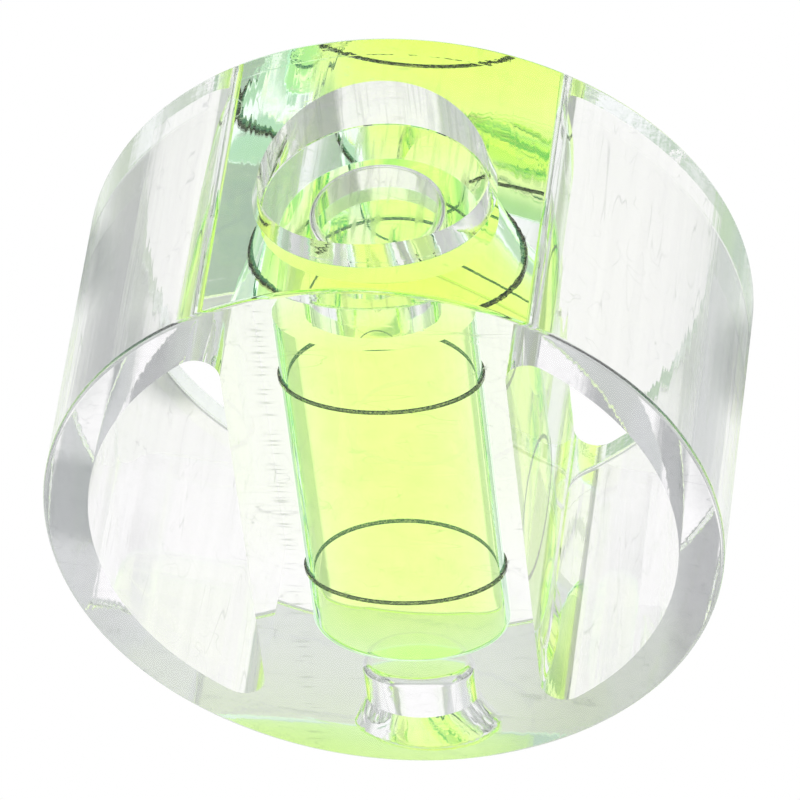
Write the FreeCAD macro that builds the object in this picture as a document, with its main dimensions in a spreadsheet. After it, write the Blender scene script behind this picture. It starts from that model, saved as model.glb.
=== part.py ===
"""Round clear block with a built-in tubular bubble vial, for setting into a level or a fixture.

The block is one acrylic piece: a ring with two D-shaped windows and a bar between them. The bar is bored
along Y from the rim, closed at the far end. The vial's end plug is solvent-bonded into a counterbore at
the rim, two painted gauge rings lie in grooves of the bore wall, and the bore holds the liquid and its
bubble. Millimetres. The block lies on its flat back face, Z is the ring's axis and the plug faces -Y.
"""
import FreeCAD, Part
import math
import os
import Sketcher
from FreeCAD import Placement, Rotation, Vector

doc = FreeCAD.newDocument("round_vial_block")

# Driving dimensions
SIZES = [
    ("block_diameter", 30.0, "outer diameter of the round block"),
    ("block_thickness", 15.7, "length of the block along the ring's axis"),
    ("outer_edge_round", 0.2, "rounding of the two outer rim edges"),
    ("rim_wall", 2.0, "wall between a window and the outside"),
    ("bar_width", 12.4, "width of the bar that holds the vial"),
    ("window_corner_radius", 1.0, "rounding of the window corners"),
    ("bore_diameter", 8.9, "bore that holds the liquid"),
    ("bore_end_wall", 4.3, "acrylic left between the closed end of the bore and the far side of the rim"),
    ("bore_end_round", 1.2, "rounding at the closed end of the bore"),
    ("plug_recess_depth", 2.6, "from the crown of the rim down to the outer face of the plug"),
    ("plug_diameter", 10.1, "flange of the end plug"),
    ("plug_flange_thickness", 1.0, "flange of the end plug, along the vial"),
    ("plug_spigot_length", 1.9, "part of the plug that enters the bore"),
    ("plug_top_thickness", 0.6, "acrylic above the hollow of the plug"),
    ("plug_hollow_diameter", 6.0, "hollow under the plug, where the bubble rests"),
    ("plug_hollow_round", 0.4, "rounding at the ceiling of that hollow"),
    ("bond_gap", 0.01, "solvent film between the plug and the block, on the radius"),
    ("bubble_bulge", 0.45, "how far the bubble hangs below the plug"),
    ("ring_spacing", 12.1, "distance between the two gauge rings"),
    ("ring_centre_shift", 0.33, "middle of the gauge rings, past the centre of the block, away from the plug"),
    ("ring_width", 0.2, "width of a gauge ring along the vial"),
    ("ring_depth", 0.12, "depth of a gauge ring's groove in the bore wall"),
    ("gate_recess_diameter", 5.2, "round recess in the rim under the closed end"),
    ("gate_recess_depth", 2.4, "depth of that recess from the crown of the rim"),
    ("gate_recess_round", 0.5, "rounding at the ceiling of that recess"),
]

sheet = doc.addObject("Spreadsheet::Sheet", "sizes")
for row, (alias, number, meaning) in enumerate(SIZES, start=1):
    sheet.set(f"A{row}", meaning)
    sheet.set(f"B{row}", str(number))
    sheet.setAlias(f"B{row}", alias)
doc.recompute()

# Places along the vial are depths, measured from the crown of the rim at the plug's end
RIM_RADIUS = "sizes.block_diameter / 2"
PLUG_RADIUS = "sizes.plug_diameter / 2"
BORE_RADIUS = "sizes.bore_diameter / 2"
HOLLOW_RADIUS = "sizes.plug_hollow_diameter / 2"
SEAT_RADIUS = f"{PLUG_RADIUS} + sizes.bond_gap"
SPIGOT_RADIUS = f"{BORE_RADIUS} - sizes.bond_gap"
PLUG_TOP = "sizes.plug_recess_depth"
HOLLOW_TOP = f"{PLUG_TOP} + sizes.plug_top_thickness"
SEAT_DEPTH = f"{PLUG_TOP} + sizes.plug_flange_thickness"
PLUG_END = f"{SEAT_DEPTH} + sizes.plug_spigot_length"
BUBBLE_END = f"{PLUG_END} + sizes.bubble_bulge"
BORE_END = "sizes.block_diameter - sizes.bore_end_wall"
GATE_TOP = "sizes.block_diameter - sizes.gate_recess_depth"
RIM_START_ANGLE = -30  # degrees from +X
FIRST_RING_START = (f"{RIM_RADIUS} + sizes.ring_centre_shift - sizes.ring_spacing / 2"
                    " - sizes.ring_width / 2")


def value(expression):
    """The number that an expression on the sheet gives now."""
    return float(sheet.evalExpression(expression))


def origin_part(body, role):
    """The body's own origin plane or axis with this role."""
    return next(part for part in body.Origin.OriginFeatures if part.Role == role)


def new_body(label):
    body = doc.addObject("PartDesign::Body", label)
    body.Label = label
    return body


def new_sketch(body, name, plane):
    """An empty sketch on one of the body's origin planes."""
    sketch = body.newObject("Sketcher::SketchObject", name)
    sketch.AttachmentSupport = [(origin_part(body, plane), "")]
    sketch.MapMode = "FlatFace"
    return sketch


def new_vial_sketch(body, name):
    """A sketch in the vial's plane: x is the depth from the crown of the rim, y the distance from the axis."""
    sketch = new_sketch(body, name, "YZ_Plane")
    sketch.setExpression("AttachmentOffset.Base.x", f"-{RIM_RADIUS}")
    sketch.setExpression("AttachmentOffset.Base.y", "sizes.block_thickness / 2")
    return sketch


def bind(sketch, kind, elements, expression):
    """Adds a dimension to the sketch and ties it to the sheet."""
    index = sketch.addConstraint(Sketcher.Constraint(kind, *elements, value(expression)))
    sketch.setExpression(f"Constraints[{index}]", expression)


def pin_point(sketch, line, end, across, up):
    """Holds one end of a line at a place given by two expressions; 0 puts it on the axis."""
    if across == "0":
        sketch.addConstraint(Sketcher.Constraint("PointOnObject", line, end, -2))
    else:
        bind(sketch, "DistanceX", (-1, 1, line, end), across)
    if up == "0":
        sketch.addConstraint(Sketcher.Constraint("PointOnObject", line, end, -1))
    else:
        bind(sketch, "DistanceY", (-1, 1, line, end), up)


def draw_outline(sketch, corners):
    """Closed outline through the corners, with every corner bound to the sheet."""
    places = [Vector(value(across), value(up), 0) for across, up in corners]
    count = len(corners)
    for index in range(count):
        sketch.addGeometry(Part.LineSegment(places[index], places[(index + 1) % count]))
    for index, (across, up) in enumerate(corners):
        sketch.addConstraint(Sketcher.Constraint("Coincident", index, 2, (index + 1) % count, 1))
        pin_point(sketch, index, 1, across, up)


def turn(body, kind, name, sketch):
    """Revolves a vial sketch about the vial's axis; kind is Revolution to add or Groove to cut."""
    feature = body.newObject(f"PartDesign::{kind}", name)
    feature.Profile = sketch
    feature.ReferenceAxis = (sketch, ["H_Axis"])
    feature.Angle = 360
    sketch.Visibility = False
    return feature


def round_edges(body, name, base, wanted, radius):
    """Fillets the edges of the base feature that the function wanted picks."""
    doc.recompute()
    names = [f"Edge{i}" for i, edge in enumerate(base.Shape.Edges, start=1) if wanted(edge)]
    fillet = body.newObject("PartDesign::Fillet", name)
    fillet.Base = (base, names)
    fillet.setExpression("Radius", radius)
    return fillet


def is_circle_at(edge, radius, centre):
    """True for a full circle of this radius about this centre."""
    if edge.Degenerated:
        return False
    curve = edge.Curve
    if not isinstance(curve, Part.Circle):
        return False
    return abs(curve.Radius - radius) < 1e-4 and curve.Center.distanceToPoint(centre) < 1e-4


def vial_point(depth):
    """The point on the vial's axis at this depth, in the block's frame."""
    return Vector(0, depth - value(RIM_RADIUS), value("sizes.block_thickness") / 2)


def draw_bubble(sketch):
    """Half outline of the bubble: it fills the plug's hollow and hangs below it as a shallow cap."""
    corners = [(HOLLOW_TOP, "0"), (HOLLOW_TOP, HOLLOW_RADIUS), (PLUG_END, HOLLOW_RADIUS)]
    places = [Vector(value(across), value(up), 0) for across, up in corners]
    tip = Vector(value(BUBBLE_END), 0, 0)
    # The cap is an arc that crosses the axis at the tip, so its centre lies on the axis
    reach, width = tip.x - places[2].x, places[2].y
    cap_radius = (reach ** 2 + width ** 2) / (2 * reach)
    centre = Vector(tip.x - cap_radius, 0, 0)
    rim_angle = math.atan2(width, places[2].x - centre.x)
    circle = Part.Circle(centre, Vector(0, 0, 1), cap_radius)
    sketch.addGeometry(Part.LineSegment(places[0], places[1]))
    sketch.addGeometry(Part.LineSegment(places[1], places[2]))
    sketch.addGeometry(Part.ArcOfCircle(circle, 0, rim_angle))
    sketch.addGeometry(Part.LineSegment(tip, places[0]))
    pin_point(sketch, 0, 1, *corners[0])
    pin_point(sketch, 0, 2, *corners[1])
    pin_point(sketch, 1, 2, *corners[2])
    pin_point(sketch, 3, 1, BUBBLE_END, "0")
    sketch.addConstraint(Sketcher.Constraint("Coincident", 0, 2, 1, 1))
    sketch.addConstraint(Sketcher.Constraint("Coincident", 1, 2, 2, 2))
    sketch.addConstraint(Sketcher.Constraint("Coincident", 2, 1, 3, 1))
    sketch.addConstraint(Sketcher.Constraint("Coincident", 3, 2, 0, 1))
    sketch.addConstraint(Sketcher.Constraint("PointOnObject", 2, 3, -1))


def make_vial_block():
    """The moulded acrylic body: ring, bar, bore, counterbore, gauge grooves and the recess under the vial."""
    body = new_body("vial_block")

    # Points spaced evenly round the rim's circle miss both recesses when it starts at this angle
    disc_sketch = new_sketch(body, "rim_outline", "XY_Plane")
    disc_sketch.AttachmentOffset = Placement(Vector(), Rotation(Vector(0, 0, 1), RIM_START_ANGLE))
    disc_sketch.addGeometry(Part.Circle(Vector(0, 0, 0), Vector(0, 0, 1), value(RIM_RADIUS)))
    disc_sketch.addConstraint(Sketcher.Constraint("Coincident", 0, 3, -1, 1))
    bind(disc_sketch, "Radius", (0,), RIM_RADIUS)
    disc = body.newObject("PartDesign::Pad", "rim_disc")
    disc.Profile = disc_sketch
    disc.setExpression("Length", "sizes.block_thickness")

    # One D-shaped window beside the bar, then its mirror image
    window_radius = f"{RIM_RADIUS} - sizes.rim_wall"
    half_bar = "sizes.bar_width / 2"
    half_chord = math.sqrt(value(window_radius) ** 2 - value(half_bar) ** 2)
    corner_angle = math.atan2(half_chord, value(half_bar))
    window_sketch = new_sketch(body, "window_outline", "XY_Plane")
    circle = Part.Circle(Vector(0, 0, 0), Vector(0, 0, 1), value(window_radius))
    window_sketch.addGeometry(Part.ArcOfCircle(circle, -corner_angle, corner_angle))
    low = Vector(value(half_bar), -half_chord, 0)
    high = Vector(value(half_bar), half_chord, 0)
    window_sketch.addGeometry(Part.LineSegment(high, low))
    window_sketch.addConstraint(Sketcher.Constraint("Coincident", 0, 3, -1, 1))
    window_sketch.addConstraint(Sketcher.Constraint("Coincident", 0, 2, 1, 1))
    window_sketch.addConstraint(Sketcher.Constraint("Coincident", 1, 2, 0, 1))
    window_sketch.addConstraint(Sketcher.Constraint("Vertical", 1))
    bind(window_sketch, "Radius", (0,), window_radius)
    bind(window_sketch, "DistanceX", (-1, 1, 1, 1), half_bar)
    window = body.newObject("PartDesign::Pocket", "right_window")
    window.Profile = window_sketch
    window.Type = "ThroughAll"
    window.Reversed = True
    windows = body.newObject("PartDesign::Mirrored", "both_windows")
    windows.Originals = [window]
    windows.MirrorPlane = (origin_part(body, "YZ_Plane"), [""])
    body.Tip = windows

    # The vial's bore with the counterbore for the plug, cut from the crown of the rim
    bore_sketch = new_vial_sketch(body, "bore_outline")
    draw_outline(bore_sketch, [("0", "0"), ("0", SEAT_RADIUS), (SEAT_DEPTH, SEAT_RADIUS),
                               (SEAT_DEPTH, BORE_RADIUS), (BORE_END, BORE_RADIUS), (BORE_END, "0")])
    bore = turn(body, "Groove", "bore", bore_sketch)
    recess_sketch = new_vial_sketch(body, "gate_recess_outline")
    recess_radius = "sizes.gate_recess_diameter / 2"
    draw_outline(recess_sketch, [(GATE_TOP, "0"), (GATE_TOP, recess_radius),
                                 ("sizes.block_diameter", recess_radius), ("sizes.block_diameter", "0")])
    recess = turn(body, "Groove", "gate_recess", recess_sketch)

    # Gauge grooves: one is cut, the second is its pattern copy
    groove_sketch = new_vial_sketch(body, "gauge_groove_outline")
    draw_ring(groove_sketch, FIRST_RING_START)
    groove = turn(body, "Groove", "gauge_groove", groove_sketch)
    grooves = body.newObject("PartDesign::LinearPattern", "both_gauge_grooves")
    grooves.Originals = [groove]
    grooves.Direction = (groove_sketch, ["H_Axis"])
    grooves.setExpression("Length", "sizes.ring_spacing")
    grooves.Occurrences = 2
    body.Tip = grooves

    # Roundings: the bore's closed end, the window corners and the two outer rim edges
    bore_end = vial_point(value(BORE_END))
    ended = round_edges(body, "bore_end_rounding", grooves,
                        lambda edge: is_circle_at(edge, value(BORE_RADIUS), bore_end),
                        "sizes.bore_end_round")
    gate_top = vial_point(value(GATE_TOP))
    ended = round_edges(body, "gate_recess_rounding", ended,
                        lambda edge: is_circle_at(edge, value(recess_radius), gate_top),
                        "sizes.gate_recess_round")

    def is_window_corner(edge):
        first, last = edge.Vertexes[0].Point, edge.Vertexes[-1].Point
        upright = abs(abs(last.z - first.z) - value("sizes.block_thickness")) < 1e-4
        on_corner = abs(abs(first.x) - value(half_bar)) < 1e-4 and abs(abs(first.y) - half_chord) < 1e-4
        return upright and on_corner

    cornered = round_edges(body, "window_corner_rounding", ended, is_window_corner,
                           "sizes.window_corner_radius")
    face_centres = [Vector(0, 0, 0), Vector(0, 0, value("sizes.block_thickness"))]
    round_edges(body, "outer_edge_rounding", cornered,
                lambda edge: any(is_circle_at(edge, value(RIM_RADIUS), at) for at in face_centres),
                "sizes.outer_edge_round")
    for feature, before in ((bore, windows), (recess, bore), (groove, recess)):
        if feature.Shape.Volume >= before.Shape.Volume:
            raise RuntimeError(f"{feature.Name} cut nothing")
    return body


def draw_ring(sketch, start):
    """Half section of one gauge ring, in its groove."""
    end = f"{start} + sizes.ring_width"
    outside = f"{BORE_RADIUS} + sizes.ring_depth"
    draw_outline(sketch, [(start, BORE_RADIUS), (start, outside), (end, outside), (end, BORE_RADIUS)])


def round_hollow(body, name, base):
    """Rounds the ceiling of the plug's hollow, or the top of the bubble that fills it."""
    ceiling = vial_point(value(HOLLOW_TOP))
    return round_edges(body, name, base,
                       lambda edge: is_circle_at(edge, value(HOLLOW_RADIUS), ceiling),
                       "sizes.plug_hollow_round")


def make_end_plug():
    """Flanged plug with a hollow underside, bonded in the counterbore."""
    body = new_body("end_plug")
    sketch = new_vial_sketch(body, "plug_outline")
    draw_outline(sketch, [(PLUG_TOP, "0"), (PLUG_TOP, PLUG_RADIUS), (SEAT_DEPTH, PLUG_RADIUS),
                          (SEAT_DEPTH, SPIGOT_RADIUS), (PLUG_END, SPIGOT_RADIUS),
                          (PLUG_END, HOLLOW_RADIUS), (HOLLOW_TOP, HOLLOW_RADIUS), (HOLLOW_TOP, "0")])
    plug = turn(body, "Revolution", "plug", sketch)
    round_hollow(body, "hollow_rounding", plug)
    return body


def make_gauge_ring(label, start):
    """Black paint ring that fills one groove of the bore wall."""
    body = new_body(label)
    sketch = new_vial_sketch(body, f"{label}_outline")
    draw_ring(sketch, start)
    turn(body, "Revolution", f"{label}_paint", sketch)
    return body


def make_level_liquid():
    """Liquid in the bore, from the plug to the rounded end, around the bubble's cap."""
    body = new_body("level_liquid")
    sketch = new_vial_sketch(body, "liquid_outline")
    draw_outline(sketch, [(PLUG_END, "0"), (PLUG_END, BORE_RADIUS), (BORE_END, BORE_RADIUS),
                          (BORE_END, "0")])
    column = turn(body, "Revolution", "liquid_column", sketch)
    bore_end = vial_point(value(BORE_END))
    round_edges(body, "liquid_end_rounding", column,
                lambda edge: is_circle_at(edge, value(BORE_RADIUS), bore_end), "sizes.bore_end_round")
    bubble_sketch = new_vial_sketch(body, "bubble_space_outline")
    draw_bubble(bubble_sketch)
    turn(body, "Groove", "bubble_space", bubble_sketch)
    return body


def make_air_bubble():
    """Air in the plug's hollow, with its cap in the liquid."""
    body = new_body("air_bubble")
    sketch = new_vial_sketch(body, "bubble_outline")
    draw_bubble(sketch)
    bubble = turn(body, "Revolution", "bubble", sketch)
    round_hollow(body, "bubble_rounding", bubble)
    return body


nodes = [make_vial_block(), make_end_plug()]
for ring_label, ring_start in (("upper_gauge_ring", FIRST_RING_START),
                               ("lower_gauge_ring", f"{FIRST_RING_START} + sizes.ring_spacing")):
    nodes.append(make_gauge_ring(ring_label, ring_start))
nodes += [make_level_liquid(), make_air_bubble()]
doc.recompute()

for item in doc.Objects:
    if any(word in ("Invalid", "Error") for word in item.State):
        raise RuntimeError(f"{item.Name} did not build: {item.State}")
for node in nodes:
    if node.Shape.isNull() or not node.Shape.isValid() or len(node.Shape.Solids) != 1:
        raise RuntimeError(f"{node.Label} is not one valid solid")

os.makedirs("parts", exist_ok=True)
for node in nodes:
    node.Shape.exportStep(os.path.join("parts", f"{node.Label}.step"))
    box = node.Shape.optimalBoundingBox(False)
    print(f"{node.Label}: {node.Shape.Volume:.2f} mm3, X {box.XMin:.2f} to {box.XMax:.2f}, "
          f"Y {box.YMin:.2f} to {box.YMax:.2f}, Z {box.ZMin:.2f} to {box.ZMax:.2f}")
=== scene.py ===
# %% [markdown]
# # Round bubble level vial
# This lesson dresses one clear part: a round acrylic block with a green bubble vial in its bar.
# Clear plastic has no look of its own. What the eye reads is how light bends at each wall, so
# every wall has to be where the real one is, face the right way and bend light by the right amount.
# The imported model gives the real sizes, and the meshes here are finer copies of its solids.

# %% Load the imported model
import bpy
import math
from mathutils import Matrix, Vector


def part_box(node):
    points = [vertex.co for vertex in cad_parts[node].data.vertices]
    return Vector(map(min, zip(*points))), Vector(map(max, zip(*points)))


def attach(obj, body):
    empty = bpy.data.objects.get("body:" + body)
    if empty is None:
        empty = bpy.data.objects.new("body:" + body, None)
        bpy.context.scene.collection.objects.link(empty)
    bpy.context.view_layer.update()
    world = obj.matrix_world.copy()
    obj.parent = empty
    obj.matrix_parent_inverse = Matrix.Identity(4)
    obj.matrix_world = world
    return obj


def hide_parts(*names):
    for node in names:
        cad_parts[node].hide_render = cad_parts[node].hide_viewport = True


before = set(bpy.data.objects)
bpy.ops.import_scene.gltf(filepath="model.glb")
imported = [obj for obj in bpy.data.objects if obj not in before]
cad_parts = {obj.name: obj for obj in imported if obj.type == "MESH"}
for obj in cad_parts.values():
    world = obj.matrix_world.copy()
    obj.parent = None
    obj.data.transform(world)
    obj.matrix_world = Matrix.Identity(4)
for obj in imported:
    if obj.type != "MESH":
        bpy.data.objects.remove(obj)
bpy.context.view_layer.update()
print("solids:", sorted(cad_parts))

# %% [markdown]
# ## Sizes
# The block lies on its back face, with Z along the axis of the ring and the vial along Y, plug end
# at -Y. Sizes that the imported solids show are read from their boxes. The others, such as the
# width of the bar, are named here once, in metres, with the values of the drawing.

# %% Sizes read from the solids
MM = 0.001
block_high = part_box("vial_block")[1]
plug_low, plug_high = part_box("end_plug")
liquid_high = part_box("level_liquid")[1]
bubble_low, bubble_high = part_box("air_bubble")
upper_low, upper_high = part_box("upper_gauge_ring")
lower_low, lower_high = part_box("lower_gauge_ring")

RIM_RADIUS = block_high.x
THICKNESS = block_high.z
AXIS_HEIGHT = THICKNESS / 2
BORE_RADIUS = liquid_high.x
FLANGE_RADIUS = plug_high.x
HOLLOW_RADIUS = bubble_high.x
GROOVE_RADIUS = upper_high.x
print(f"radius of rim {RIM_RADIUS / MM:.2f} mm and bore {BORE_RADIUS / MM:.2f} mm, "
      f"thickness {THICKNESS / MM:.2f} mm")

# %% Sizes of the drawing that no box shows
RIM_WALL = 2.0 * MM
HALF_BAR = 6.2 * MM
WINDOW_CORNER = 1.0 * MM
OUTER_EDGE_ROUND = 0.2 * MM
BORE_END_ROUND = 1.2 * MM
FLANGE_THICKNESS = 1.0 * MM
BOND_GAP = 0.01 * MM
HOLLOW_ROUND = 0.4 * MM
GATE_RADIUS = 2.6 * MM
GATE_DEPTH = 2.4 * MM
GATE_ROUND = 0.5 * MM

# %% [markdown]
# ## Small helpers
# An operator works on whatever is selected, so each step starts by clearing the selection. A
# revolved piece starts as a half outline in the plane of the vial's axis, which Spin turns once
# round. A point on it is given as its place along Y and its distance from the vial's axis.

# %% Selection and outline helpers
TURN_STEPS = 256
MERGE_DISTANCE = 0.0005 * MM


def only(obj):
    """Selects one object alone and makes it active."""
    bpy.ops.object.select_all(action="DESELECT")
    obj.select_set(True)
    bpy.context.view_layer.objects.active = obj


def outline_object(name, points, closed):
    """A new object whose mesh is one run of edges through the points."""
    count = len(points)
    edges = [(i, (i + 1) % count) for i in range(count if closed else count - 1)]
    mesh = bpy.data.meshes.new(name)
    mesh.from_pydata(points, edges, [])
    obj = bpy.data.objects.new(name, mesh)
    bpy.context.scene.collection.objects.link(obj)
    return obj


def arc(centre, radius, start, end, steps):
    """Points of a flat arc as (across, up) pairs, angles in degrees."""
    angles = [math.radians(start + (end - start) * i / steps) for i in range(steps + 1)]
    return [(centre[0] + radius * math.cos(a), centre[1] + radius * math.sin(a)) for a in angles]


def spin_about_vial(name, profile, closed):
    """Turns a half outline of (y, distance from the axis) pairs once round the vial's axis."""
    obj = outline_object(name, [(distance, y, AXIS_HEIGHT) for y, distance in profile], closed)
    only(obj)
    bpy.ops.object.mode_set(mode="EDIT")
    bpy.ops.mesh.select_all(action="SELECT")
    bpy.ops.mesh.spin(steps=TURN_STEPS, angle=2 * math.pi, center=(0, 0, AXIS_HEIGHT), axis=(0, 1, 0))
    bpy.ops.mesh.select_all(action="SELECT")
    bpy.ops.mesh.remove_doubles(threshold=MERGE_DISTANCE)
    bpy.ops.mesh.normals_make_consistent(inside=False)
    bpy.ops.object.mode_set(mode="OBJECT")
    return obj


# %% [markdown]
# ## The block's outside
# The real block is a moulded disc with both rim edges just broken. A cylinder with many sides is
# added at its size, and the two rim edges get a small bevel of a few segments.

# %% Disc with softened rim edges
RIM_STEPS = 512
RIM_EDGE_STEPS = 4

bpy.ops.object.select_all(action="DESELECT")
bpy.ops.mesh.primitive_cylinder_add(vertices=RIM_STEPS, radius=RIM_RADIUS, depth=THICKNESS,
                                    location=(0, 0, AXIS_HEIGHT))
block = bpy.context.active_object
block.name = "clear_vial_block"
bpy.ops.object.transform_apply(location=True)
bpy.ops.object.mode_set(mode="EDIT")
bpy.ops.mesh.select_mode(type="EDGE")
bpy.ops.mesh.select_all(action="DESELECT")
bpy.ops.object.mode_set(mode="OBJECT")
for edge in block.data.edges:
    heights = [block.data.vertices[v].co.z for v in edge.vertices]
    edge.select = abs(heights[0] - heights[1]) < THICKNESS / 2
bpy.ops.object.mode_set(mode="EDIT")
bpy.ops.mesh.bevel(offset=OUTER_EDGE_ROUND, segments=RIM_EDGE_STEPS, profile=0.5)
bpy.ops.object.mode_set(mode="OBJECT")
print("disc faces:", len(block.data.polygons))

# %% [markdown]
# ## Windows
# Each window is D-shaped: an arc inside the rim, a straight side along the bar, and two round
# corners where they meet. A bevel can't run across the many facets of the arc, so the outline is
# drawn as three arcs, then filled and extruded right through the disc.

# %% Window cutters
WINDOW_RADIUS = RIM_RADIUS - RIM_WALL
CORNER_X = HALF_BAR + WINDOW_CORNER
CORNER_Y = math.sqrt((WINDOW_RADIUS - WINDOW_CORNER) ** 2 - CORNER_X ** 2)
WINDOW_ARC_STEPS = 160
CORNER_STEPS = 24
CUTTER_REACH = 1 * MM


def window_outline(side):
    """Corner points of one D-shaped window, side 1 for +X and -1 for -X."""
    lean = math.degrees(math.atan2(CORNER_Y, CORNER_X))
    points = arc((0, 0), WINDOW_RADIUS, -lean, lean, WINDOW_ARC_STEPS)
    points += arc((CORNER_X, CORNER_Y), WINDOW_CORNER, lean, 180, CORNER_STEPS)[1:]
    points += arc((CORNER_X, -CORNER_Y), WINDOW_CORNER, 180, 360 - lean, CORNER_STEPS)[:-1]
    return [(side * x, y) for x, y in points]


def window_cutter(side):
    """A D-shaped bar that runs past both faces of the block."""
    start = -CUTTER_REACH
    points = [(x, y, start) for x, y in window_outline(side)]
    cutter = outline_object("window_cutter", points, closed=True)
    only(cutter)
    bpy.ops.object.mode_set(mode="EDIT")
    bpy.ops.mesh.select_all(action="SELECT")
    bpy.ops.mesh.edge_face_add()
    bpy.ops.mesh.extrude_region_move(TRANSFORM_OT_translate={"value": (0, 0, THICKNESS - 2 * start)})
    bpy.ops.mesh.select_all(action="SELECT")
    bpy.ops.mesh.normals_make_consistent(inside=False)
    bpy.ops.object.mode_set(mode="OBJECT")
    return cutter


# %% [markdown]
# ## Bore, counterbore and the recess under the vial
# The bore is drilled from the rim and closed at the far end by a rounded floor. Near the rim it
# widens into the seat of the plug, and two shallow grooves hold the gauge paint. One half outline
# spun round the vial's axis cuts all of it. The recess at the other end is a plain round pocket.

# %% Bore cutters
SEAT_RADIUS = FLANGE_RADIUS + BOND_GAP
SEAT_Y = plug_low.y + FLANGE_THICKNESS
END_Y = liquid_high.y
PAST_RIM = RIM_RADIUS + CUTTER_REACH
BORE_ROUND_STEPS = 16
POCKET_ROUND_STEPS = 12


def bore_end(radius, end, rounding):
    """The closed end of a bore: a rounded edge and the flat middle, towards +Y."""
    centre = (end - rounding, radius - rounding)
    return arc(centre, rounding, 90, 0, BORE_ROUND_STEPS) + [(end, 0)]


bore_profile = [(-PAST_RIM, 0), (-PAST_RIM, SEAT_RADIUS), (plug_low.y, SEAT_RADIUS), (SEAT_Y, SEAT_RADIUS),
                (SEAT_Y, BORE_RADIUS), (plug_high.y, BORE_RADIUS)]
for low, high in ((upper_low.y, upper_high.y), (lower_low.y, lower_high.y)):
    bore_profile += [(low, BORE_RADIUS), (low, GROOVE_RADIUS), (high, GROOVE_RADIUS), (high, BORE_RADIUS)]
bore_profile += bore_end(BORE_RADIUS, END_Y, BORE_END_ROUND)
bore_cutter = spin_about_vial("bore_cutter", bore_profile, closed=False)

GATE_Y = RIM_RADIUS - GATE_DEPTH
gate_profile = [(GATE_Y, 0)]
gate_profile += arc((GATE_Y + GATE_ROUND, GATE_RADIUS - GATE_ROUND),
                    GATE_ROUND, 180, 90, POCKET_ROUND_STEPS)
gate_profile += [(PAST_RIM, GATE_RADIUS), (PAST_RIM, 0)]
gate_cutter = spin_about_vial("gate_cutter", gate_profile, closed=False)


# %% Cut the block
def cut(target, cutter):
    """Takes the cutter out of the target with an exact boolean and removes the cutter."""
    only(target)
    modifier = target.modifiers.new("cut", "BOOLEAN")
    modifier.operation = "DIFFERENCE"
    modifier.solver = "EXACT"
    modifier.object = cutter
    bpy.ops.object.modifier_apply(modifier=modifier.name)
    bpy.data.objects.remove(cutter)


for cutter in (window_cutter(1), window_cutter(-1), bore_cutter, gate_cutter):
    cut(block, cutter)
print("block faces after the cuts:", len(block.data.polygons))

# %% [markdown]
# ## The plug
# The plug is a flanged cap with a hollow underside. The real one is stuck in with solvent, so at
# the bonded walls the two plastics are one, and light goes straight through.

# %% Spin the plug
SPIGOT_RADIUS = BORE_RADIUS - BOND_GAP
PLUG_TOP = plug_low.y
PLUG_END = plug_high.y
HOLLOW_TOP = bubble_low.y
FLANGE_EDGE_ROUND = 0.08 * MM
FLANGE_EDGE_STEPS = 4

plug_profile = [(PLUG_TOP, 0)]
plug_profile += arc((PLUG_TOP + FLANGE_EDGE_ROUND, FLANGE_RADIUS - FLANGE_EDGE_ROUND),
                    FLANGE_EDGE_ROUND, 180, 90, FLANGE_EDGE_STEPS)
plug_profile += [(SEAT_Y, FLANGE_RADIUS), (SEAT_Y, SPIGOT_RADIUS), (PLUG_END, SPIGOT_RADIUS),
                 (PLUG_END, HOLLOW_RADIUS)]
plug_profile += arc((HOLLOW_TOP + HOLLOW_ROUND, HOLLOW_RADIUS - HOLLOW_ROUND),
                    HOLLOW_ROUND, 90, 180, POCKET_ROUND_STEPS)
plug_profile += [(HOLLOW_TOP, 0)]
plug = spin_about_vial("clear_end_plug", plug_profile, closed=False)

# %% [markdown]
# ## Gauge rings, liquid and bubble
# The rings are paint that fills the grooves. The liquid is only a colour here: its mesh reaches a
# hair into the walls around it, so that the block's own bore wall does the bending. The bubble
# fills the plug's hollow and hangs below it as a shallow cap.


# %% Spin the rings
def ring(name, low, high):
    """A band of paint that fills the groove between two places along Y."""
    profile = [(low, BORE_RADIUS), (low, GROOVE_RADIUS), (high, GROOVE_RADIUS), (high, BORE_RADIUS)]
    return spin_about_vial(name, profile, closed=True)


upper_ring = ring("upper_gauge_line", upper_low.y, upper_high.y)
lower_ring = ring("lower_gauge_line", lower_low.y, lower_high.y)

# %% Spin the liquid and the bubble
SKIN = 0.02 * MM
CAP_END = bubble_high.y
CAP_STEPS = 24


def cap_arc(shift):
    """The bubble's hanging cap from its edge to its tip, moved along the axis by shift."""
    reach = CAP_END - PLUG_END
    radius = (reach ** 2 + HOLLOW_RADIUS ** 2) / (2 * reach)
    centre = (CAP_END - radius + shift, 0)
    lean = math.degrees(math.asin(HOLLOW_RADIUS / radius))
    return arc(centre, radius, lean, 0, CAP_STEPS)


liquid_profile = cap_arc(-SKIN)[::-1]
liquid_profile += [(PLUG_END - SKIN, BORE_RADIUS + SKIN)]
liquid_profile += bore_end(BORE_RADIUS + SKIN, END_Y + SKIN, BORE_END_ROUND + SKIN)
liquid = spin_about_vial("green_liquid", liquid_profile, closed=False)

BUBBLE_INSET = 0.01 * MM
bubble_profile = [(HOLLOW_TOP + BUBBLE_INSET, 0)]
bubble_profile += arc((HOLLOW_TOP + HOLLOW_ROUND, HOLLOW_RADIUS - HOLLOW_ROUND),
                      HOLLOW_ROUND - BUBBLE_INSET, 180, 90, POCKET_ROUND_STEPS)
bubble_profile += [(PLUG_END - BUBBLE_INSET, HOLLOW_RADIUS - BUBBLE_INSET)] + cap_arc(0)
bubble = spin_about_vial("air_bubble_shape", bubble_profile, closed=False)

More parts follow.
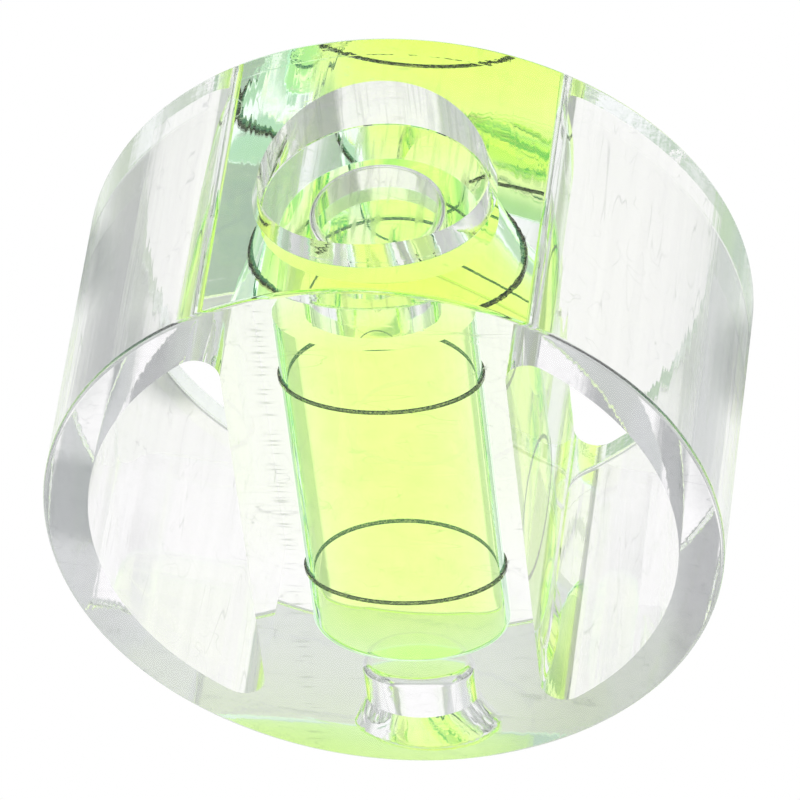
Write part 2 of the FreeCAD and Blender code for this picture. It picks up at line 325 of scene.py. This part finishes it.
# %% [markdown]
# ## Which wall is which
# Light bends by a different amount at each kind of wall: a lot between plastic and air, hardly at
# all between plastic and liquid, and not at all at a bond. So the faces of the block and the plug
# are sorted by their place into material slots. The curved walls also get exact normals, worked
# out from the cylinder they lie on, because the eye sees every facet through clear plastic.

# %% Sorting helpers
NEAR = 0.004 * MM
WALL_KINDS = ("air", "wet", "bonded")
AIR_WALL, WET_WALL, BONDED_WALL = range(len(WALL_KINDS))
BUBBLE_SIDE, BUBBLE_CAP = 0, 1


def vial_radius(point):
    """Distance of a point from the vial's axis."""
    return math.hypot(point.x, point.z - AXIS_HEIGHT)


def mark(obj, chooser):
    """Gives each face the slot number that the chooser returns for its corners."""
    vertices = obj.data.vertices
    for polygon in obj.data.polygons:
        corners = [vertices[i].co for i in polygon.vertices]
        polygon.material_index = chooser(corners)


def all_within(values, low, high):
    """Whether every value lies between the two, give or take a hair."""
    return all(low - NEAR <= v <= high + NEAR for v in values)


def block_wall(corners):
    """Bonded at the plug's seat, wet along the bore below the plug, and air elsewhere."""
    ys = [c.y for c in corners]
    radii = [vial_radius(c) for c in corners]
    if all_within(radii, BORE_RADIUS, SEAT_RADIUS) and all_within(ys, SEAT_Y, SEAT_Y):
        return BONDED_WALL
    if all_within(radii, SEAT_RADIUS, SEAT_RADIUS) and all_within(ys, PLUG_TOP, SEAT_Y):
        return BONDED_WALL
    if all_within(radii, BORE_RADIUS, BORE_RADIUS) and all_within(ys, SEAT_Y, PLUG_END):
        return BONDED_WALL
    if all_within(radii, 0, GROOVE_RADIUS) and all_within(ys, PLUG_END, END_Y):
        return WET_WALL
    return AIR_WALL


def plug_wall(corners):
    """Air on the outer face and in the hollow, wet on the end of the spigot, bonded elsewhere."""
    ys = [c.y for c in corners]
    radii = [vial_radius(c) for c in corners]
    if all_within(radii, HOLLOW_RADIUS, SPIGOT_RADIUS) and all_within(ys, PLUG_END, PLUG_END):
        return WET_WALL
    if all_within(ys, PLUG_TOP, PLUG_TOP + FLANGE_EDGE_ROUND) or all_within(radii, 0, HOLLOW_RADIUS):
        return AIR_WALL
    return BONDED_WALL


def bubble_wall(corners):
    """The free cap that meets the liquid, or the side that meets the plug."""
    return BUBBLE_CAP if all(c.y >= PLUG_END - NEAR for c in corners) else BUBBLE_SIDE


# %% Exact normals for the walls
STRAIGHT = 0.999995
UPRIGHT_TILT = 0.01
ALONG_VIAL_TILT = 0.005
NEAR_WALL = 0.01 * MM
SMOOTH_BELOW = math.radians(20)


def same_way(direction, own):
    """The direction at length one, turned to the side that the face looks to."""
    direction = direction.normalized()
    return direction if direction.dot(own) > 0 else -direction


def block_normal(centre, own, point):
    """The normal on the rim, its edge rounds and the curved parts of the windows."""
    across = math.hypot(centre.x, centre.y)
    level = abs(centre.z - AXIS_HEIGHT)
    round_start = THICKNESS / 2 - OUTER_EDGE_ROUND
    outward = Vector((point.x, point.y, 0))
    if across > RIM_RADIUS - OUTER_EDGE_ROUND and level > round_start:
        ring_height = AXIS_HEIGHT + math.copysign(round_start, centre.z - AXIS_HEIGHT)
        away = outward - outward.normalized() * (RIM_RADIUS - OUTER_EDGE_ROUND)
        return same_way(away + Vector((0, 0, point.z - ring_height)), own)
    if abs(own.z) > UPRIGHT_TILT:
        return None
    if abs(across - RIM_RADIUS) < NEAR_WALL:
        return same_way(outward, own)
    if across > WINDOW_RADIUS - NEAR_WALL and abs(centre.x) > HALF_BAR:
        return same_way(outward, own)
    if HALF_BAR < abs(centre.x) and across < WINDOW_RADIUS:
        corner = Vector((math.copysign(CORNER_X, centre.x), math.copysign(CORNER_Y, centre.y), 0))
        return same_way(outward - corner, own)
    return None


def vial_normal(centre, own, point):
    """The normal on a cylinder round the vial's axis and on the round at the end of a pocket."""
    away = Vector((point.x, 0, point.z - AXIS_HEIGHT))
    if abs(own.y) < ALONG_VIAL_TILT and vial_radius(centre) < SEAT_RADIUS + NEAR:
        return same_way(away, own)
    for start, end, middle in ((END_Y - BORE_END_ROUND, END_Y, BORE_RADIUS - BORE_END_ROUND),
                               (GATE_Y + GATE_ROUND, GATE_Y, GATE_RADIUS - GATE_ROUND),
                               (HOLLOW_TOP + HOLLOW_ROUND, HOLLOW_TOP, HOLLOW_RADIUS - HOLLOW_ROUND)):
        if min(start, end) < centre.y < max(start, end) and vial_radius(centre) > middle:
            rise = Vector((0, point.y - start, 0))
            return same_way(away - away.normalized() * middle + rise, own)
    return None


def wall_normal(obj, polygon, point):
    """The exact normal at a corner of a face, or none where the shape's own shading is good."""
    centre, own = polygon.center, polygon.normal
    if max(abs(own.x), abs(own.y), abs(own.z)) > STRAIGHT:
        return own.copy()
    exact = block_normal(centre, own, point) if obj is block else None
    return exact or vial_normal(centre, own, point)


def smooth_walls(obj):
    """Smooth shading at shallow edges, with exact normals on flats, cylinders and rounds."""
    only(obj)
    bpy.ops.object.shade_smooth_by_angle(angle=SMOOTH_BELOW)
    mesh = obj.data
    normals = [Vector(n.vector) for n in mesh.corner_normals]
    for polygon in mesh.polygons:
        for index in polygon.loop_indices:
            point = mesh.vertices[mesh.loops[index].vertex_index].co
            exact = wall_normal(obj, polygon, point)
            if exact is not None:
                normals[index] = exact
    mesh.normals_split_custom_set(normals)


for piece, chooser in ((block, block_wall), (plug, plug_wall), (bubble, bubble_wall)):
    mark(piece, chooser)
for piece in (block, plug, liquid, bubble, upper_ring, lower_ring):
    smooth_walls(piece)
for piece in (block, plug):
    slots = [polygon.material_index for polygon in piece.data.polygons]
    print(piece.name, {kind: slots.count(slot) for slot, kind in enumerate(WALL_KINDS)})

# %% [markdown]
# ## Clear plastic and liquid
# Plastic against air bends light by 1.49. Against the liquid, whose own index is 1.42, only the
# ratio of the two counts. A bonded wall is a transparent one. The liquid's colour is a volume that
# takes blue and some red out of the light on its way through, and its dye glows a little. The
# walls that the liquid wets carry part of its colour, so that its thin edges are coloured too.

# %% Node helpers
WHITE = (1, 1, 1, 1)


def feed(tree, socket, value):
    """Gives a socket a link or a plain value."""
    if isinstance(value, bpy.types.NodeSocket):
        tree.links.new(value, socket)
    else:
        socket.default_value = value


def joined(tree, kind, values, operation=None):
    """A new node whose inputs, by number or name, take a link or a plain value."""
    new = tree.nodes.new(kind)
    if operation:
        new.operation = operation
    for key, value in values.items():
        feed(tree, new.inputs[key], value)
    return new


def sums(tree, operation, first, second=0.0):
    """The result of one step of arithmetic."""
    return joined(tree, "ShaderNodeMath", {0: first, 1: second}, operation).outputs[0]


def times(tree, first, *others):
    """The product of two or more values."""
    for other in others:
        first = sums(tree, "MULTIPLY", first, other)
    return first


def most(tree, first, *others):
    """The largest of two or more values."""
    for other in others:
        first = sums(tree, "MAXIMUM", first, other)
    return first


def spread(tree, value, low, high, start=0.0, end=1.0):
    """A value's range from low to high laid over start to end, and held there beyond it."""
    limits = {"Value": value, "From Min": low, "From Max": high, "To Min": start, "To Max": end}
    return joined(tree, "ShaderNodeMapRange", limits).outputs["Result"]


def blend(tree, factor, first, second):
    """A colour between two others."""
    mix = tree.nodes.new("ShaderNodeMix")
    mix.data_type = "RGBA"
    for name, value in (("Factor", factor), ("A", first), ("B", second)):
        feed(tree, mix.inputs[name], value)
    return mix.outputs["Result"]


def length(tree, x, y):
    """How long the flat way along x and y is."""
    way = joined(tree, "ShaderNodeCombineXYZ", {0: x, 1: y}).outputs[0]
    return joined(tree, "ShaderNodeVectorMath", {0: way}, "LENGTH").outputs["Value"]


def noise(tree, vector, scale, detail):
    """Plain noise, from 0 to 1."""
    wanted = {"Vector": vector, "Scale": scale, "Detail": detail}
    return joined(tree, "ShaderNodeTexNoise", wanted).outputs["Fac"]


def place_in_mm(tree, stretch=(1, 1, 1)):
    """The place on the piece in millimetres, squeezed along some axes to draw marks out."""
    place = tree.nodes.new("ShaderNodeTexCoord").outputs["Object"]
    factors = tuple(s / MM for s in stretch)
    return joined(tree, "ShaderNodeVectorMath", {0: place, 1: factors}, "MULTIPLY").outputs[0]


# %% Kinds of wall
ACRYLIC_IOR = 1.49
LIQUID_IOR = 1.42
NO_BENDING = 1.0


def new_material(name):
    """An empty material, its tree and the node that its shader goes to."""
    material = bpy.data.materials.new(name)
    material.use_nodes = True
    tree = material.node_tree
    tree.nodes.clear()
    return material, tree, tree.nodes.new("ShaderNodeOutputMaterial")


def clear_wall(name, ior):
    """A wall that bends light by the ratio given, with its tree and shader."""
    material, tree, output = new_material(name)
    clear = {"Base Color": WHITE, "Roughness": 0.0, "IOR": ior, "Transmission Weight": 1.0}
    shader = joined(tree, "ShaderNodeBsdfPrincipled", clear)
    tree.links.new(shader.outputs["BSDF"], output.inputs["Surface"])
    return material, tree, shader


def straight_wall(name):
    """A wall between two pieces that bends nothing."""
    material, tree, output = new_material(name)
    shader = tree.nodes.new("ShaderNodeBsdfTransparent")
    tree.links.new(shader.outputs["BSDF"], output.inputs["Surface"])
    return material


HAZE_LIMITS = (0.4, 0.7)
WETTED_DARK = (0.905, 0.985, 0.63, 1)
WETTED_LIGHT = (0.95, 1, 0.68, 1)


def haze(tree, socket, darkest, lightest=WHITE):
    """A cloudy tint between two colours, for walls that are otherwise perfectly clear."""
    cloud = noise(tree, place_in_mm(tree), scale=0.8, detail=3.0)
    feed(tree, socket, blend(tree, spread(tree, cloud, *HAZE_LIMITS), lightest, darkest))


acrylic_air, air_tree, air_shader = clear_wall("clear_acrylic", ACRYLIC_IOR)
acrylic_wet, wet_tree, wet_shader = clear_wall("wetted_acrylic", ACRYLIC_IOR / LIQUID_IOR)
acrylic_bonded = straight_wall("bonded_acrylic")
haze(wet_tree, wet_shader.inputs["Base Color"], WETTED_DARK, WETTED_LIGHT)

# %% [markdown]
# ## Wear and painted rim shade
# Handled acrylic is never quite clear. Hair scratches cross the faces, the turned pocket round the plug
# keeps its tool marks, and short dashes stand beside the vial. Streaks along the rim, partly wear and
# partly painted shade, grey the rim faintly and ripple its slope. They change colour, roughness and
# slope a little and leave the bending of light as it is. Places in these cells are in millimetres. A pair
# of limits is the stretch over which a mark comes or goes, measured on a place or on the strength of its
# noise.

# %% Where the marks lie
around = joined(air_tree, "ShaderNodeSeparateXYZ", {0: place_in_mm(air_tree)})
across, along, height = around.outputs[0], around.outputs[1], around.outputs[2]
from_axis = length(air_tree, across, along)
from_vial = length(air_tree, across, sums(air_tree, "SUBTRACT", height, AXIS_HEIGHT / MM))

RIM_LIMITS = (12.9, 13.0)
PLUG_END_LIMITS = (-11.7, -11.9)
POCKET_LIMITS = (5.1, 5.3)
MARKS_PAST_POCKET = 0.18
DASH_ROW = 4.3
DASH_LIMITS = (0.55, 0.1)
FRONT_LEVEL = 15.6

on_rim = spread(air_tree, from_axis, *RIM_LIMITS)
at_plug_end = spread(air_tree, along, *PLUG_END_LIMITS)
in_pocket = spread(air_tree, from_vial, *POCKET_LIMITS, 1.0, MARKS_PAST_POCKET)
from_row = sums(air_tree, "ABSOLUTE", sums(air_tree, "SUBTRACT", across, DASH_ROW))
beside_vial = spread(air_tree, from_row, *DASH_LIMITS)
on_front = sums(air_tree, "GREATER_THAN", height, FRONT_LEVEL)

# %% Streaks, scratches, tool marks and dashes
STREAK_RADIUS = 15.0
STREAK_DRAW = 0.05
STREAK_LIMITS = (0.42, 0.62)
SCRATCH_SCALE = 0.8
NOISE_MIDDLE = 0.5
LONG_STRETCH = (1.3, 1.3, 0.1)
LONG_WIDTH = 0.006
LONG_PATCHES = (0.48, 0.6)
CROSS_STRETCH = (0.15, 1.1, 0.7)
CROSS_WIDTH = 0.005
CROSS_PATCHES = (0.55, 0.42)
TOOL_STRETCH = (6.0, 0.2, 0.45)
TOOL_LIMITS = (0.54, 0.64)
DASH_STRETCH = (0.5, 5.0, 0.2)
DASH_PATCHES = (0.56, 0.62)
SPECKLE_LIMITS = (0.55, 0.75)


def scratches(stretch, width):
    """Thin lines: where stretched noise crosses its middle."""
    field = noise(air_tree, place_in_mm(air_tree, stretch), SCRATCH_SCALE, detail=1.0)
    off_middle = sums(air_tree, "ABSOLUTE", sums(air_tree, "SUBTRACT", field, NOISE_MIDDLE))
    return spread(air_tree, off_middle, 0.0, width, 1.0, 0.0)


turn = sums(air_tree, "ARCTAN2", across, along)
streak_place = joined(air_tree, "ShaderNodeCombineXYZ",
                      {0: times(air_tree, turn, STREAK_RADIUS), 1: times(air_tree, height, STREAK_DRAW),
                       2: from_axis})
streak_noise = noise(air_tree, streak_place.outputs[0], scale=1.8, detail=2.0)
# Grey streaks on the rim: partly wear, partly painted shade that darkens the rim
rim_streaks_and_shade = times(air_tree, spread(air_tree, streak_noise, *STREAK_LIMITS), on_rim)

patches = noise(air_tree, place_in_mm(air_tree), scale=0.35, detail=0.0)
long_scratches = times(air_tree, scratches(LONG_STRETCH, LONG_WIDTH),
                       spread(air_tree, patches, *LONG_PATCHES))
cross_scratches = times(air_tree, scratches(CROSS_STRETCH, CROSS_WIDTH),
                        spread(air_tree, patches, *CROSS_PATCHES))
tool_noise = noise(air_tree, place_in_mm(air_tree, TOOL_STRETCH), scale=1.0, detail=1.0)
tool_marks = times(air_tree, spread(air_tree, tool_noise, *TOOL_LIMITS), at_plug_end, in_pocket)
dash_noise = noise(air_tree, place_in_mm(air_tree, DASH_STRETCH), scale=1.0, detail=1.0)
dashes = times(air_tree, beside_vial, on_front, spread(air_tree, dash_noise, *DASH_PATCHES))
speckle_noise = noise(air_tree, place_in_mm(air_tree), scale=12.0, detail=1.0)
speckle = spread(air_tree, speckle_noise, *SPECKLE_LIMITS)

# %% Wear and painted rim shade on the acrylic
# How much painted rim shade the streaks add to the grey
RIM_SHADE_SHARE = 0.05
TOOL_MARK_SHARE = 0.8
SCRATCH_SHARE = 0.35
SPECKLE_SHARE = 0.08
SCRATCH_ROUGHNESS = 0.25
RIPPLE_STRENGTH = 0.25
RIPPLE_HEIGHT = 0.02 * MM
# The grey of the wear marks, also used for the painted shade on the rim
WEAR_AND_SHADE_COLOUR = (0.2, 0.22, 0.23, 1)

all_scratches = most(air_tree, long_scratches, cross_scratches, times(air_tree, tool_marks, TOOL_MARK_SHARE),
                     dashes)
marked = sums(air_tree, "ADD", times(air_tree, all_scratches, SCRATCH_SHARE),
              times(air_tree, speckle, SPECKLE_SHARE))
grey = sums(air_tree, "ADD", times(air_tree, rim_streaks_and_shade, RIM_SHADE_SHARE), marked)
ripple = times(air_tree, streak_noise, on_rim)
bump = joined(air_tree, "ShaderNodeBump",
              {"Height": ripple, "Strength": RIPPLE_STRENGTH, "Distance": RIPPLE_HEIGHT})
feed(air_tree, air_shader.inputs["Base Color"], blend(air_tree, grey, WHITE, WEAR_AND_SHADE_COLOUR))
feed(air_tree, air_shader.inputs["Roughness"], times(air_tree, all_scratches, SCRATCH_ROUGHNESS))
feed(air_tree, air_shader.inputs["Normal"], bump.outputs["Normal"])

# %% Paint, liquid and bubble
PAINT_COLOUR = (0.035, 0.045, 0.02, 1)
PAINT_LIMITS = (0.35, 0.55)
THIN_PAINT, THICK_PAINT = 0.45, 0.9
DYE_COLOUR = (0.965, 1.0, 0.04, 1)
DYE_DENSITY = 80.0
GLOW_COLOUR = (0.2, 1.0, 0.45, 1)
GLOW_STRENGTH = 0.085
LIQUID_HAZE = (0.97, 0.99, 0.95, 1)
BUBBLE_HAZE = (0.97, 0.98, 0.97, 1)

paint, paint_tree, paint_output = new_material("gauge_paint")
paint_noise = noise(paint_tree, place_in_mm(paint_tree), scale=9.0, detail=3.0)
paint_cover = spread(paint_tree, paint_noise, *PAINT_LIMITS, THIN_PAINT, THICK_PAINT)
paint_shader = joined(paint_tree, "ShaderNodeBsdfPrincipled",
                      {"Base Color": PAINT_COLOUR, "Roughness": 0.55, "Alpha": paint_cover})
paint_tree.links.new(paint_shader.outputs["BSDF"], paint_output.inputs["Surface"])

dye, dye_tree, dye_surface = clear_wall("green_liquid", NO_BENDING)
dye_surface.inputs["Emission Color"].default_value = GLOW_COLOUR
dye_surface.inputs["Emission Strength"].default_value = GLOW_STRENGTH
dye_volume = joined(dye_tree, "ShaderNodeVolumeAbsorption", {"Color": DYE_COLOUR, "Density": DYE_DENSITY})
dye_tree.links.new(dye_volume.outputs["Volume"], dye_tree.nodes["Material Output"].inputs["Volume"])
haze(dye_tree, dye_surface.inputs["Base Color"], LIQUID_HAZE)

skin, skin_tree, skin_output = new_material("bubble_cap")
skin_glass = joined(skin_tree, "ShaderNodeBsdfGlass", {"Roughness": 0.0, "IOR": 1 / LIQUID_IOR})
skin_tree.links.new(skin_glass.outputs["BSDF"], skin_output.inputs["Surface"])
haze(skin_tree, skin_glass.inputs["Color"], BUBBLE_HAZE)
bubble_side = straight_wall("bubble_wall")

for piece, materials in ((block, (acrylic_air, acrylic_wet, acrylic_bonded)),
                         (plug, (acrylic_air, acrylic_wet, acrylic_bonded)),
                         (upper_ring, (paint,)), (lower_ring, (paint,)),
                         (liquid, (dye,)), (bubble, (bubble_side, skin))):
    indices = [p.material_index for p in piece.data.polygons]
    piece.data.materials.clear()
    for material in materials:
        piece.data.materials.append(material)
    for polygon, index in zip(piece.data.polygons, indices):
        polygon.material_index = index

# %% [markdown]
# ## What each piece stands for
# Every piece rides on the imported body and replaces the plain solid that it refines.

# %% Bodies and slots
for piece, node, slot in ((block, "vial_block", "clear_acrylic"), (plug, "end_plug", "clear_plug"),
                          (upper_ring, "upper_gauge_ring", "gauge_paint"),
                          (lower_ring, "lower_gauge_ring", "gauge_paint"),
                          (liquid, "level_liquid", "green_liquid"),
                          (bubble, "air_bubble", "bubble_air")):
    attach(piece, "root")
    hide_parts(node)

# %% [markdown]
# ## Floor and studio
# The camera sees a plain white floor. Part of the light that comes down through the block goes on
# to the studio below: a white sheet straight behind, grey to both sides of it. Those greys are
# what draws the rim and the edges of clear plastic. Above, soft cards dim the dome in places, and
# three soft shadows lie on the floor beside the block.

# %% Floor
FLOOR_SIZE = 4.0
FLOOR_DROP = 0.02 * MM
FLOOR_COLOUR = (0.95, 0.95, 0.95, 1)
SHADOW_COLOUR = (0.45, 0.46, 0.47, 1)
FLOOR_OPEN = 0.72
SHADOW_OPEN = 0.3

# Each shadow: x, y, the radius of its full shade and the radius where it ends, in millimetres
SHADOW_SPOTS = ((-16.2, 5.2, 2.2, 4.4), (12.4, 6.2, 2.2, 3.6), (16.8, -1.4, 1.8, 3.9))

bpy.ops.object.select_all(action="DESELECT")
bpy.ops.mesh.primitive_plane_add(size=FLOOR_SIZE, location=(0, 0, -FLOOR_DROP))
floor = bpy.context.active_object
floor.name = "studio_floor"
floor_material, floor_tree, floor_output = new_material("studio_floor")
floor_place = place_in_mm(floor_tree)
shadow = 0.0
for spot_x, spot_y, full_radius, end_radius in SHADOW_SPOTS:
    away = joined(floor_tree, "ShaderNodeVectorMath", {0: floor_place, 1: (spot_x, spot_y, 0)}, "DISTANCE")
    shadow = most(floor_tree, spread(floor_tree, away.outputs["Value"], end_radius, full_radius), shadow)
floor_colour = blend(floor_tree, shadow, FLOOR_COLOUR, SHADOW_COLOUR)
floor_diffuse = joined(floor_tree, "ShaderNodeBsdfDiffuse", {"Color": floor_colour})
floor_open = floor_tree.nodes.new("ShaderNodeBsdfTransparent")
floor_white = floor_tree.nodes.new("ShaderNodeEmission")
floor_path = floor_tree.nodes.new("ShaderNodeLightPath")
open_share = times(floor_tree, floor_path.outputs["Is Transmission Ray"],
                   spread(floor_tree, shadow, 0.0, 1.0, FLOOR_OPEN, SHADOW_OPEN))
floor_base = joined(floor_tree, "ShaderNodeMixShader",
                    {0: open_share, 1: floor_diffuse.outputs[0], 2: floor_open.outputs[0]})
floor_seen = joined(floor_tree, "ShaderNodeMixShader",
                    {0: floor_path.outputs["Is Camera Ray"], 1: floor_base.outputs[0],
                     2: floor_white.outputs[0]})
floor_tree.links.new(floor_seen.outputs[0], floor_output.inputs["Surface"])
floor.data.materials.append(floor_material)

# %% World
DOME_COLOUR = (0.98, 0.98, 0.98, 1)

# Each card: azimuth, elevation, the angle out to which it has its full colour, the angle where it
# ends, all in degrees, and its colour
CARDS = {
    "overhead": (150, 52, 26, 50, (0.97, 1.0, 1.0, 1)),
    "overhead_front": (-39, 63, 15, 40, (0.97, 1.0, 1.0, 1)),
    "back_left": (-159.5, 45, 4.5, 7, (0.4, 0.53, 0.42, 1)),
    "back": (182, 41.5, 4.5, 7.5, (0.42, 0.57, 0.42, 1)),
    "back_right": (140, 47, 5, 10, (0.5, 0.58, 0.46, 1)),
    "back_far_left": (-143, 45, 4, 8, (0.52, 0.68, 0.46, 1)),
    "low_left": (-148, 20, 12, 24, (0.42, 0.56, 0.4, 1)),
    "low_back": (156, 20, 9, 16, (0.44, 0.6, 0.45, 1)),
    "below": (0, -90, 72, 92, (0.5, 0.52, 0.51, 1)),
    "below_front": (-15, -43, 30, 62, (0.69, 0.7, 0.73, 1)),
    "below_left": (138, -44, 9, 24, (0.31, 0.31, 0.33, 1)),
    "below_right": (-148, -44, 6, 16, (0.56, 0.57, 0.59, 1)),
    "white_sheet": (171, -43.5, 15.5, 18.2, (1.06, 1.03, 1.06, 1)),
}


def direction(azimuth, elevation):
    """The direction from the object towards a place on the dome, azimuth 0 being the plug's side."""
    turn, rise = math.radians(azimuth), math.radians(elevation)
    return math.sin(turn) * math.cos(rise), -math.cos(turn) * math.cos(rise), math.sin(rise)


def add_card(azimuth, elevation, full, end, colour, behind):
    """A soft round card: its colour out to one angle, fading to what is behind it at another."""
    nearness = joined(world_tree, "ShaderNodeVectorMath",
                      {0: world_place, 1: direction(azimuth, elevation)}, "DOT_PRODUCT").outputs["Value"]
    fade = joined(world_tree, "ShaderNodeMapRange",
                  {"Value": nearness, "From Min": math.cos(math.radians(end)),
                   "From Max": math.cos(math.radians(full))})
    fade.interpolation_type = "SMOOTHSTEP"
    return blend(world_tree, fade.outputs["Result"], behind, colour)


world = bpy.data.worlds.new("soft_studio")
bpy.context.scene.world = world
world.use_nodes = True
world_tree = world.node_tree
world_place = world_tree.nodes.new("ShaderNodeTexCoord").outputs["Generated"]
studio = DOME_COLOUR
for card in CARDS.values():
    studio = add_card(*card, studio)
world_path = world_tree.nodes.new("ShaderNodeLightPath")
world_seen = blend(world_tree, world_path.outputs["Is Camera Ray"], studio, WHITE)
world_tree.links.new(world_seen, world_tree.nodes["Background"].inputs["Color"])

# %% [markdown]
# ## Camera
# The photograph was taken from a good way off through a long lens, looking down on the front face
# from the plug's side, with the camera turned upside down about its line of sight.

# %% Camera
CAMERA_AZIMUTH = math.radians(-11.133)
CAMERA_ELEVATION = math.radians(43.581)
CAMERA_ROLL = math.radians(-171.385)
CAMERA_DISTANCE = 392.75 * MM
FRAME_RIGHT = 0.094 * MM
FRAME_UP = -0.190 * MM
LENS = 398.58
SENSOR_WIDTH = 36.0

toward = Vector((math.sin(CAMERA_AZIMUTH) * math.cos(CAMERA_ELEVATION),
                 -math.cos(CAMERA_AZIMUTH) * math.cos(CAMERA_ELEVATION),
                 math.sin(CAMERA_ELEVATION)))
level_right = Vector((0, 0, 1)).cross(toward).normalized()
level_up = toward.cross(level_right)
right = level_right * math.cos(CAMERA_ROLL) + level_up * math.sin(CAMERA_ROLL)
up = toward.cross(right)
camera_data = bpy.data.cameras.new("photo_camera")
camera_data.lens = LENS
camera_data.sensor_width = SENSOR_WIDTH
camera = bpy.data.objects.new("photo_camera", camera_data)
bpy.context.scene.collection.objects.link(camera)
place = Vector((0, 0, AXIS_HEIGHT)) + toward * CAMERA_DISTANCE - right * FRAME_RIGHT - up * FRAME_UP
camera.matrix_world = Matrix.Translation(place) @ Matrix((right, up, toward)).transposed().to_4x4()
bpy.context.scene.camera = camera

# %% Render settings that belong to the scene
MOST_BOUNCES = 24
MOST_BONDS_CROSSED = 64

bpy.context.scene.view_settings.view_transform = "Standard"
cycles = bpy.context.scene.cycles
cycles.blur_glossy = 0.0
cycles.max_bounces = MOST_BOUNCES
cycles.transmission_bounces = MOST_BOUNCES
cycles.glossy_bounces = MOST_BOUNCES
cycles.transparent_max_bounces = MOST_BONDS_CROSSED
